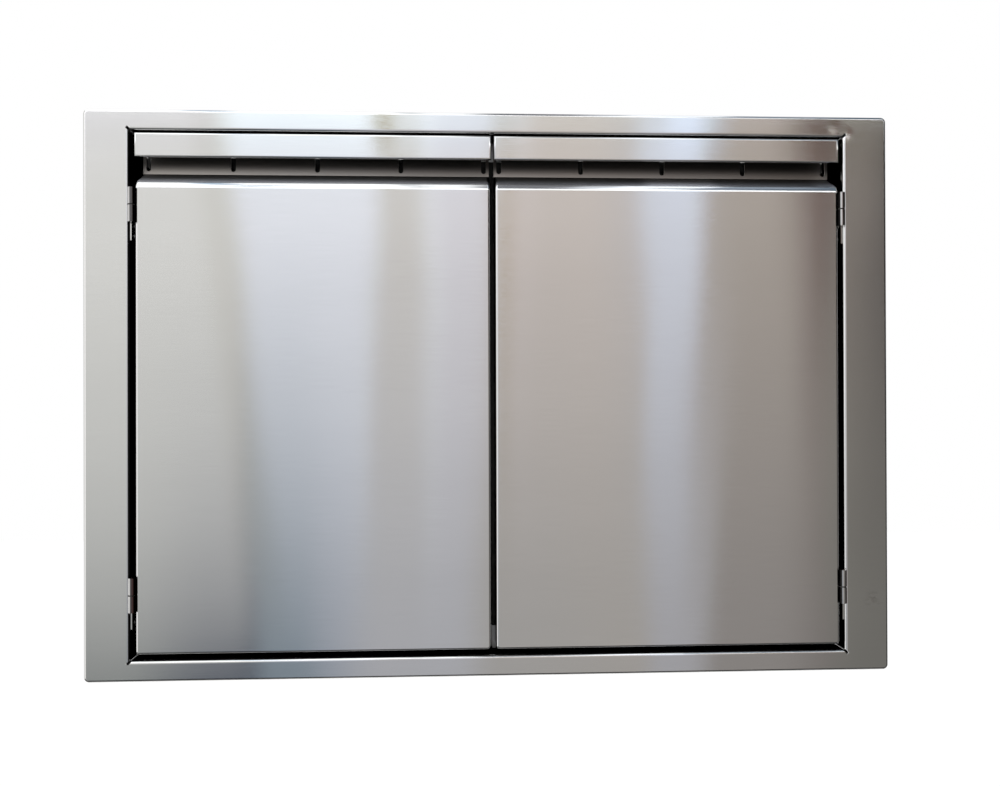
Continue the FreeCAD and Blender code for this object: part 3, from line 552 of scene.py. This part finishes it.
plainSets = {
    "mill_steel": {"light": (0.50, 0.50, 0.49, 1), "dark": (0.42, 0.42, 0.41, 1), "roughLow": 0.3, "roughHigh": 0.45,
                   "metallic": 1.0, "scale": (240.0, 240.0, 240.0), "bump": 0.04},
    "hinge_steel": {"light": (0.62, 0.61, 0.60, 1), "dark": (0.54, 0.53, 0.52, 1), "roughLow": 0.07, "roughHigh": 0.11,
                    "metallic": 1.0, "scale": (300.0, 300.0, 60.0), "bump": 0.02},
    "bright_steel": {"light": (0.75, 0.75, 0.74, 1), "dark": (0.62, 0.62, 0.62, 1), "roughLow": 0.12,
                     "roughHigh": 0.25, "metallic": 1.0, "scale": (400.0, 400.0, 400.0), "bump": 0.04},
    "rivet_steel": {"light": (0.68, 0.68, 0.67, 1), "dark": (0.52, 0.52, 0.51, 1), "roughLow": 0.22,
                    "roughHigh": 0.4, "metallic": 1.0, "scale": (900.0, 900.0, 900.0), "bump": 0.06},
    "nickel_plate": {"light": (0.72, 0.7, 0.66, 1), "dark": (0.6, 0.58, 0.54, 1), "roughLow": 0.15,
                     "roughHigh": 0.3, "metallic": 1.0, "scale": (500.0, 500.0, 500.0), "bump": 0.04},
    "dark_washer": {"light": (0.10, 0.095, 0.09, 1), "dark": (0.05, 0.048, 0.045, 1), "roughLow": 0.4,
                    "roughHigh": 0.6, "metallic": 1.0, "scale": (900.0, 900.0, 900.0), "bump": 0.04},
    "dull_rivet": {"light": (0.26, 0.26, 0.25, 1), "dark": (0.16, 0.16, 0.16, 1), "roughLow": 0.35,
                   "roughHigh": 0.5, "metallic": 1.0, "scale": (900.0, 900.0, 900.0), "bump": 0.05},
    "bumper_rubber": {"light": (0.06, 0.06, 0.06, 1), "dark": (0.03, 0.03, 0.03, 1), "roughLow": 0.6,
                      "roughHigh": 0.8, "metallic": 0.0, "scale": (1200.0, 1200.0, 1200.0), "bump": 0.25},
}


plainBumpDistance = 0.0002
frontBelow = -0.5  # the normal's y of a face that looks forward


def makePlain(name, setting, gap=None, darkFront=False):
    words = name.split("_")
    material, tree, shader = newMaterial(words[0] + "".join(word.capitalize() for word in words[1:]))
    speck = stretchedNoise(tree, setting["scale"], *fineDetail)
    colour = blendColour(tree, spread(tree, speck, *toneAt, 0.0, 1.0), setting["dark"], setting["light"])
    if gap:
        paintedShade = gapWalls(tree, gap)
        if darkFront:
            # the forward faces of the liner, in shade inside the door, get the painted shade too
            front = math2(tree, "LESS_THAN", objectPart(tree, "Normal", "Y"), frontBelow)
            paintedShade = math2(tree, "MAXIMUM", paintedShade, front)
        blackOut(tree, shader, paintedShade, colour, gap)
    else:
        link(tree, colour, shader.inputs["Base Color"])
    rough = spread(tree, speck, *roughAt, setting["roughLow"], setting["roughHigh"])
    link(tree, rough, shader.inputs["Roughness"])
    shader.inputs["Metallic"].default_value = setting["metallic"]
    addBump(tree, shader, speck, setting["bump"], plainBumpDistance)
    return material


# The painted light and dark bands round the hinge barrels' fronts, which stand for their reflections: the shade at the
# left, then places on the normal's x, half widths and changes. The lower barrels also get a painted warm reflection.
# The barrels stand in front of the depths.
hingeSets = {
    "left": {"start": 1.0, "steps": [(-0.30, 0.08, -0.82), (0.60, 0.08, -0.16)],
             "warmAt": (-0.2, 0.3), "warm": (1.0, 0.62, 0.60), "barrelAt": (-0.0092, -0.0084)},
    "right": {"start": 0.02, "steps": [(-0.52, 0.08, 0.97), (0.72, 0.08, -0.95)],
              "warmAt": (0.4, 0.6), "warm": (1.0, 0.47, 0.43), "barrelAt": (-0.0092, -0.0084)},
}


def makeHinge(side, setting, barrel):
    material = makePlain("hinge_" + side, setting)
    tree = material.node_tree
    shader = tree.nodes["Principled BSDF"]
    # painted reflection on the barrels: bands of light and shade by the normal's x, a warm tint on the lower barrels,
    # and the glancing reflection shaded alike
    turned = objectPart(tree, "Normal", "X")
    shade = barrel["start"]
    for place, soft, change in barrel["steps"]:
        rise = spread(tree, turned, place - soft, place + soft, 0.0, change, True)
        shade = math2(tree, "ADD", rise, shade)
    proud = spread(tree, objectPart(tree, "Object", "Y"), *barrel["barrelAt"], 1.0, 0.0)
    colour = shader.inputs["Base Color"].links[0].from_socket
    low = math2(tree, "LESS_THAN", objectPart(tree, "Object", "Z"), 0.0)
    warmth = spread(tree, turned, *barrel["warmAt"], 0.0, 1.0)
    warm = vectorMath(tree, "MULTIPLY", colour, barrel["warm"])
    tinted = blendColour(tree, math2(tree, "MULTIPLY", low, warmth), colour, warm)
    link(tree, blendColour(tree, proud, colour, scaled(tree, tinted, shade)), shader.inputs["Base Color"])
    edge = scaled(tree, (1.0, 1.0, 1.0), shade)
    link(tree, blendColour(tree, proud, (1, 1, 1, 1), edge), shader.inputs["Specular Tint"])
    return material


finishes = {name: makePlain(name, setting) for name, setting in plainSets.items() if name != "mill_steel"}
finishes["mill_steel"] = makePlain("mill_steel", plainSets["mill_steel"], gapSet)
finishes["brushed_face"] = makeBrushed("doorSteel", brushedSet, gapSet, slope=slopeSet)
hingeFinish = {side: makeHinge(side, plainSets["hinge_steel"], barrel) for side, barrel in hingeSets.items()}
ownFinish = {
    "face_frame": makeBrushed("frameSteel", brushedSet, gapSet, frameMarks),
    "handle_channel": makeChannel(brushedSet, gapSet, recessSet),
    "door_liner": makePlain("liner_steel", plainSets["mill_steel"], gapSet, True),
    "hinge_washer": finishes["dark_washer"],
    "door_hinge_rivets": finishes["dull_rivet"],
    "frame_hinge_rivets": finishes["dull_rivet"],
}


def finishOf(name, slot):
    if "_leaf_" in name:
        return hingeFinish[name.rpartition("_")[2]]
    for start, own in ownFinish.items():
        if name.startswith(start):
            return own
    return finishes[slot]


for entry in frame["record"]["subparts"]:
    name = entry["node"]
    for piece in (nodes[name], dressed.get(name)):
        if piece:
            piece.data.materials.clear()
            piece.data.materials.append(finishOf(name, entry["material_slot"]))
print("finishes made")


# Studio: floor, world, a soft light wall behind the camera, dark flags, and painted shade for the hollow of the
# island.

studioSet = {
    "floorDrop": 0.9,
    "floorWide": 16.0,
    "floorColour": (0.8, 0.8, 0.8, 1),
    "floorRough": 0.9,
    "floorGlow": 0.4,
    "roomLight": 0.8,
    "wallAt": -1.36,
    "wallLow": -1.16,
    "wallHigh": 2.2,
    "wallReach": 2.2,
    "ceilingBack": 0.9,
}

# The wall's light from left to right. Each step says where the light changes, how softly, by how much, and how far
# its edge leans.
wallSet = {
    "lowAt": -0.60,
    "highAt": 0.47,
    "middle": 0.1,
    "highStart": (1.64, 1.64, 1.65),
    "highSteps": [
        (-1.02, 0.08, (-0.63, -0.63, -0.66), 0),
        (-0.533, 0.03, (-0.1, -0.11, -0.13), 0.1),
        (-0.455, 0.012, (0.24, 0.28, 0.42), 0.11),
        (-0.203, 0.008, (-0.25, -0.31, -0.44), -0.05),
        (-0.089, 0.018, (0.29, 0.37, 0.46), 0),
        (-0.071, 0.04, (-0.19, -0.26, -0.25), 0),
        (0.076, 0.03, (-0.47, -0.58, -0.85), 0),
        (0.097, 0.012, (0.37, 0.41, 0.59), 0),
        (0.135, 0.05, (-0.07, -0.06, -0.08), 0),
        (0.34, 0.07, (-0.07, -0.03, 0.01), 0),
        (0.396, 0.01, (0.17, 0.25, 0.38), 0),
        (0.516, 0.012, (-0.37, -0.47, -0.65), -0.06),
        (0.79, 0.09, (-0.49, -0.49, -0.44), 0.1),
        (0.815, 0.03, (0.215, 0.24, 0.215), 0),
        (0.95, 0.08, (-0.19, -0.17, -0.145), 0),
        (1.25, 0.1, (-0.1, -0.1, -0.1), 0),
    ],
    "lowStart": (1.15, 1.15, 1.15),
    "lowSteps": [
        (-1.02, 0.08, (-0.87, -0.85, -0.85), 0),
        (-0.65, 0.1, (-0.18, -0.18, -0.14), 0),
        (-0.469, 0.02, (0.16, 0.2, 0.22), 0.01),
        (-0.319, 0.05, (0.13, 0.11, 0.12), 0),
        (-0.207, 0.05, (0.15, 0.12, 0.09), -0.05),
        (0.036, 0.04, (-0.06, -0.08, -0.13), 0),
        (0.25, 0.15, (0.01, 0, -0.01), 0),
        (0.405, 0.012, (0.01, 0.03, 0.08), 0),
        (0.583, 0.015, (-0.15, -0.17, -0.21), -0.06),
        (0.78, 0.1, (-0.15, -0.15, -0.15), 0),
        (0.815, 0.03, (0.02, 0.035, 0.03), 0),
    ],
    # how the light climbs between the two levels: below 1 it rises early, above 1 late
    "bendStart": (0.5, 0, 0),
    "bendSteps": [
        (-0.475, 0.03, (0.5, 0, 0), 0),
        (-0.205, 0.03, (0.3, 0, 0), 0),
    ],
    # light over the doors, added to the one below
    "topAt": 0.58,
    "topSoft": 0.04,
    "topStart": (-0.3, -0.31, -0.23),
    "topSteps": [
        (-0.528, 0.02, (0.38, 0.6, 0.56), 0),
        (-0.202, 0.01, (-1.52, -1.88, -2.42), 0),
        (-0.169, 0.01, (1.41, 1.73, 2.34), 0),
        (0.13, 0.02, (-0.17, -0.3, -0.45), 0),
        (0.458, 0.012, (0.28, 0.42, 0.67), 0),
        (0.591, 0.012, (-0.25, -0.46, -0.69), 0),
        (0.722, 0.03, (-0.16, -0.13, -0.14), 0),
    ],
    # a bright bar above that, lower at the left, then the room's upper part, which the round bends show
    "barAt": 0.705,
    "barSoft": 0.03,
    "barDrop": 0.03,
    "barDropWithin": (-0.15, 0.05),
    "bar": (2.1, 2.13, 2.18),
    "aboveAt": 1.15,
    "aboveSoft": 0.08,
    "aboveStart": (1.9, 1.95, 2.0),
    "aboveSteps": [
        (-0.58, 0.02, (-1.25, -1.15, -1.0), 0),
        (-0.485, 0.02, (1.25, 1.15, 1.0), 0),
        (-0.14, 0.02, (-1.0, -1.0, -1.0), 0),
        (-0.09, 0.03, (0.65, 0.65, 0.65), 0),
        (0.05, 0.04, (-1.29, -1.33, -1.35), 0),
        (0.28, 0.03, (0.45, 0.48, 0.52), 0),
        (0.37, 0.02, (0.85, 0.9, 0.95), 0),
        (0.585, 0.02, (-1.2, -1.22, -1.25), 0),
        (0.80, 0.05, (-0.2, -0.22, -0.25), 0),
    ],
    # the ceiling is further off, so the same parts lie further out on it
    "ceilingSpread": 0.78,
}


def flatSheet(name, corners):
    mesh = bpy.data.meshes.new(name)
    sheet = bmesh.new()
    sheet.faces.new([sheet.verts.new(corner) for corner in corners])
    sheet.to_mesh(mesh)
    sheet.free()
    piece = bpy.data.objects.new(name, mesh)
    scene.collection.objects.link(piece)
    return piece


def seenRays(tree):
    # 1 for the rays that show a surface, straight or by reflection, and 0 for those that light it
    path = addNode(tree, "ShaderNodeLightPath")
    mirrored = math2(tree, "MAXIMUM", path.outputs["Is Glossy Ray"], path.outputs["Is Transmission Ray"])
    return math2(tree, "MAXIMUM", path.outputs["Is Camera Ray"], mirrored)


def buildFloor(setting):
    height = cadBox[0][2] - setting["floorDrop"]
    reach = setting["floorWide"] / 2
    floor = flatSheet("floor", [(-reach, -reach, height), (reach, -reach, height), (reach, reach, height),
                                (-reach, reach, height)])
    material, tree, shader = newMaterial("floorPaint")
    shader.inputs["Base Color"].default_value = setting["floorColour"]
    shader.inputs["Roughness"].default_value = setting["floorRough"]
    glow = addNode(tree, "ShaderNodeEmission")
    link(tree, math2(tree, "MULTIPLY", seenRays(tree), setting["floorGlow"]), glow.inputs["Strength"])
    both = addNode(tree, "ShaderNodeAddShader")
    link(tree, shader.outputs["BSDF"], both.inputs[0])
    link(tree, glow.outputs["Emission"], both.inputs[1])
    link(tree, both.outputs["Shader"], tree.nodes["Material Output"].inputs["Surface"])
    floor.data.materials.append(material)


def buildWorld(setting):
    world = bpy.data.worlds.new("studio")
    scene.world = world
    world.use_nodes = True
    tree = world.node_tree
    back = tree.nodes["Background"]
    back.inputs["Color"].default_value = (1, 1, 1, 1)
    link(tree, spread(tree, seenRays(tree), 0.0, 1.0, setting["roomLight"], 1.0), back.inputs["Strength"])


def emitOnly(name):
    material = bpy.data.materials.new(name)
    material.use_nodes = True
    tree = material.node_tree
    tree.nodes.remove(tree.nodes["Principled BSDF"])
    glow = addNode(tree, "ShaderNodeEmission")
    link(tree, glow.outputs["Emission"], tree.nodes["Material Output"].inputs["Surface"])
    return material, tree, glow


def hideCard(card):
    # a studio card that only reflections show
    card.visible_camera = False
    card.visible_diffuse = False
    card.visible_shadow = False


def blendVector(tree, factor, first, second):
    return vectorMath(tree, "ADD", first, scaled(tree, vectorMath(tree, "SUBTRACT", second, first), factor))


def buildLightWall(setting, wall):
    at, reach = setting["wallAt"], setting["wallReach"]
    card = flatSheet("lightWall", [(-reach, at, setting["wallLow"]), (-reach, at, setting["wallHigh"]),
                                   (reach, at, setting["wallHigh"]), (reach, at, setting["wallLow"])])
    hideCard(card)
    material, tree, glow = emitOnly("lightWall")
    across = objectPart(tree, "Object", "X")
    height = objectPart(tree, "Object", "Z")
    tilt = math2(tree, "SUBTRACT", height, wall["middle"])
    high = stepped(tree, across, tilt, wall["highStart"], wall["highSteps"])
    low = stepped(tree, across, tilt, wall["lowStart"], wall["lowSteps"])
    bend = addNode(tree, "ShaderNodeSeparateXYZ")
    link(tree, stepped(tree, across, tilt, wall["bendStart"], wall["bendSteps"]), bend.inputs["Vector"])
    climb = spread(tree, height, wall["lowAt"], wall["highAt"], 0.0, 1.0)
    total = blendVector(tree, math2(tree, "POWER", climb, bend.outputs["X"]), low, high)
    over = spread(tree, height, wall["topAt"] - wall["topSoft"], wall["topAt"] + wall["topSoft"], 0.0, 1.0, True)
    patches = stepped(tree, across, tilt, wall["topStart"], wall["topSteps"])
    total = vectorMath(tree, "ADD", total, scaled(tree, patches, over))
    lift = spread(tree, across, *wall["barDropWithin"], wall["barDrop"], 0.0, True)
    lifted = math2(tree, "ADD", height, lift)
    bar = spread(tree, lifted, wall["barAt"] - wall["barSoft"], wall["barAt"] + wall["barSoft"], 0.0, 1.0, True)
    total = blendVector(tree, bar, total, wall["bar"])
    above = spread(tree, height, wall["aboveAt"] - wall["aboveSoft"], wall["aboveAt"] + wall["aboveSoft"],
                   0.0, 1.0, True)
    total = blendVector(tree, above, total, stepped(tree, across, tilt, wall["aboveStart"], wall["aboveSteps"]))
    link(tree, total, glow.inputs["Color"])
    card.data.materials.append(material)


def buildCeiling(setting, wall):
    # pale light above the bench
    at, reach, top = setting["wallAt"], setting["wallReach"], setting["wallHigh"]
    card = flatSheet("ceiling", [(-reach, at, top), (-reach, setting["ceilingBack"], top),
                                 (reach, setting["ceilingBack"], top), (reach, at, top)])
    hideCard(card)
    material, tree, glow = emitOnly("ceiling")
    across = math2(tree, "MULTIPLY", objectPart(tree, "Object", "X"), wall["ceilingSpread"])
    link(tree, stepped(tree, across, across, wall["aboveStart"], wall["aboveSteps"]), glow.inputs["Color"])
    card.data.materials.append(material)


def darkPaint(name, level):
    material, tree, shader = newMaterial(name)
    shader.inputs["Base Color"].default_value = (level, level, level, 1)
    shader.inputs["Roughness"].default_value = 1.0
    return material, tree, shader


flagSet = {
    "lowAt": -1.15,
    "rightAt": 1.9,
    "rightBack": 0.4,
    "rightTop": 1.8,
    "level": 0.06,
}


def buildFlags(setting, flags):
    # dark sheets low in front and at the right, which only the metal sees
    at, reach = setting["wallAt"], setting["wallReach"]
    low, right, back, top = flags["lowAt"], flags["rightAt"], flags["rightBack"], flags["rightTop"]
    front = flatSheet("lowFlag", [(-reach, at, low), (reach, at, low), (reach, 0.0, low), (-reach, 0.0, low)])
    side = flatSheet("rightFlag", [(right, at, low), (right, back, low), (right, back, top), (right, at, top)])
    for card in (front, side):
        hideCard(card)
        card.data.materials.append(darkPaint(card.name + "Paint", flags["level"])[0])


hollowSet = {
    "clear": 0.0006,
    "sleeve": (0.338, 0.247),
    "sheet": 0.0015,
    "returnInset": 0.0025,
    "ringAt": -0.0006,
    "band": 0.022,
    "level": 0.008,
}


def clearFromBehind(tree, shader, setting, border):
    # black for the camera's own rays from in front; reflections see it only where border says so
    clear = addNode(tree, "ShaderNodeBsdfTransparent")
    mix = addNode(tree, "ShaderNodeMixShader")
    face = addNode(tree, "ShaderNodeNewGeometry")
    path = addNode(tree, "ShaderNodeLightPath")
    shown = path.outputs["Is Camera Ray"]
    if border:
        x = absolute(tree, objectPart(tree, "Object", "X"))
        z = absolute(tree, objectPart(tree, "Object", "Z"))
        edges = [math2(tree, "GREATER_THAN", x, setting["sleeve"][0] - setting["band"]),
                 math2(tree, "GREATER_THAN", z, setting["sleeve"][1] - setting["band"]),
                 math2(tree, "LESS_THAN", x, setting["band"])]
        for edge in edges:
            shown = math2(tree, "MAXIMUM", shown, edge)
    hidden = math2(tree, "SUBTRACT", 1.0, shown)
    link(tree, math2(tree, "MAXIMUM", hidden, face.outputs["Backfacing"]), mix.inputs["Fac"])
    link(tree, shader.outputs["BSDF"], mix.inputs[1])
    link(tree, clear.outputs["BSDF"], mix.inputs[2])
    link(tree, mix.outputs["Shader"], tree.nodes["Material Output"].inputs["Surface"])


def buildHollow(setting):
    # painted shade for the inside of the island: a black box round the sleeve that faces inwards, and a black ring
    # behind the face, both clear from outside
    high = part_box("face_frame")[1]
    gap = setting["clear"]
    back = high.y + gap
    side = setting["sleeve"][0] + setting["sheet"] + gap
    top = setting["sleeve"][1] + setting["sheet"] + gap
    front = setting["ringAt"]
    outX = high.x - setting["returnInset"]
    outZ = high.z - setting["returnInset"]
    cards = {
        "hollowBack": [(-side, back, -top), (side, back, -top), (side, back, top), (-side, back, top)],
        "hollowLeft": [(-side, front, -top), (-side, back, -top), (-side, back, top), (-side, front, top)],
        "hollowRight": [(side, front, -top), (side, front, top), (side, back, top), (side, back, -top)],
        "hollowTop": [(-side, front, top), (-side, back, top), (side, back, top), (side, front, top)],
        "hollowLow": [(-side, front, -top), (side, front, -top), (side, back, -top), (-side, back, -top)],
        "ringLeft": [(-outX, front, -outZ), (-side, front, -outZ), (-side, front, outZ), (-outX, front, outZ)],
        "ringRight": [(side, front, -outZ), (outX, front, -outZ), (outX, front, outZ), (side, front, outZ)],
        "ringTop": [(-side, front, top), (side, front, top), (side, front, outZ), (-side, front, outZ)],
        "ringLow": [(-side, front, -outZ), (side, front, -outZ), (side, front, -top), (-side, front, -top)],
    }
    paints = {}
    for border in (True, False):
        material, tree, shader = darkPaint("hollowDeep" if border else "hollowSide", setting["level"])
        clearFromBehind(tree, shader, setting, border)
        paints[border] = material
    for name, corners in cards.items():
        card = flatSheet(name, corners)
        card.visible_shadow = False
        card.data.materials.append(paints[name == "hollowBack"])


buildFloor(studioSet)
buildWorld(studioSet)
buildLightWall(studioSet, wallSet)
buildCeiling(studioSet, wallSet)
buildFlags(studioSet, flagSet)
buildHollow(hollowSet)
scene.view_settings.view_transform = "Standard"
print("studio built")
